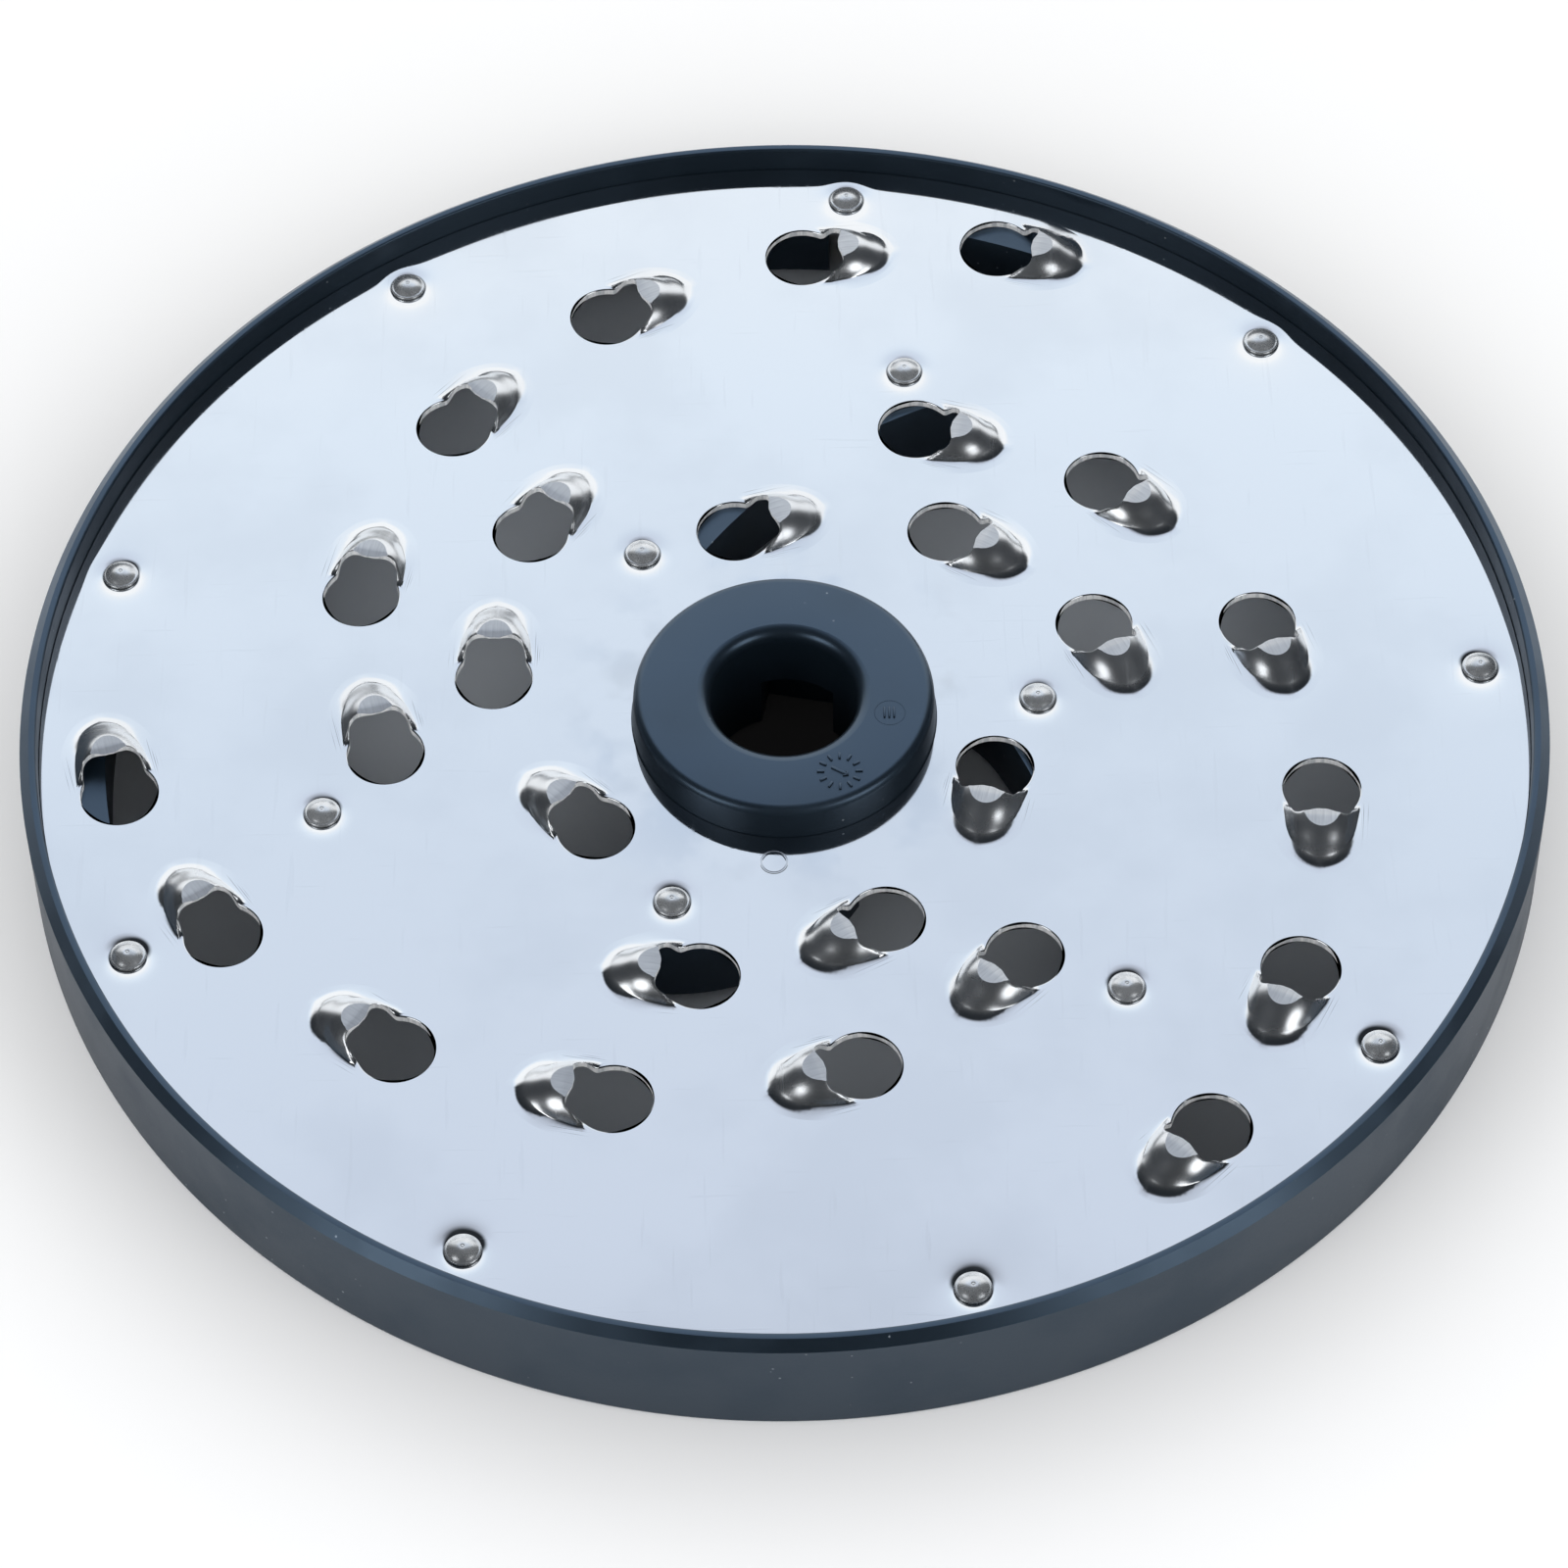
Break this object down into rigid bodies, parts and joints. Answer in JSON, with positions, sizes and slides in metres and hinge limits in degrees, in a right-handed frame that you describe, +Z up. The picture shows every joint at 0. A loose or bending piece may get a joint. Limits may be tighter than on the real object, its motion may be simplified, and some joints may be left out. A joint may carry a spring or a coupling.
{
  "type": "food processor grating disc",
  "caption": "Coarse grating disc for a vegetable cutter: polished steel sheet with raised gouge teeth, riveted on a black moulded carrier with a bored hub.",
  "frame": {"origin": "on the drive axis, in the plane of the rim's foot", "axes": "+Z up along the drive axis, out of the grating face; +X and +Y lie in the disc's plane"},
  "size_m": [0.205, 0.205, 0.019],
  "materials": {
    "polished_steel": "mirror-polished stainless sheet, lightly scratched and smudged",
    "black_plastic": "satin black moulding with a faint blue sheen",
    "rivet_steel": "bright domed stainless rivets"
  },
  "bodies": {
    "root": {"grating_plate": "polished_steel", "carrier": "black_plastic", "rim_rivets": "rivet_steel", "middle_rivets": "rivet_steel", "inner_rivets": "rivet_steel"}
  },
  "joints": []
}
